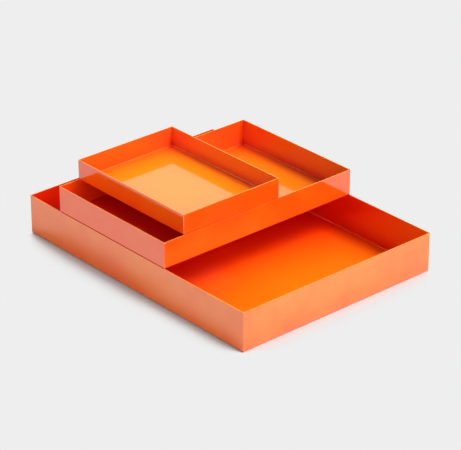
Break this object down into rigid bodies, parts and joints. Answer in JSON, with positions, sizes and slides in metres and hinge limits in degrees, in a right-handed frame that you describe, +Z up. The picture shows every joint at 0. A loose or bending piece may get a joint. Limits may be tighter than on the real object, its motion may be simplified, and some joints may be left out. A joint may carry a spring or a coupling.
{
  "type": "stack of lacquered sheet metal trays",
  "caption": "Open rectangular desk trays of orange lacquered sheet metal, stacked crosswise so that each rests on the rims of the one below.",
  "frame": {"origin": "centre of the large tray's underside, on the surface it stands on", "axes": "+Z up, +X along the large tray towards the end that the other trays leave free, +Y across it towards the back"},
  "size_m": [0.4, 0.3, 0.1128],
  "materials": {
    "orange_lacquer": "gloss"
  },
  "bodies": {
    "root": {"large_tray": "orange_lacquer", "medium_tray": "orange_lacquer", "small_tray": "orange_lacquer"}
  },
  "joints": []
}
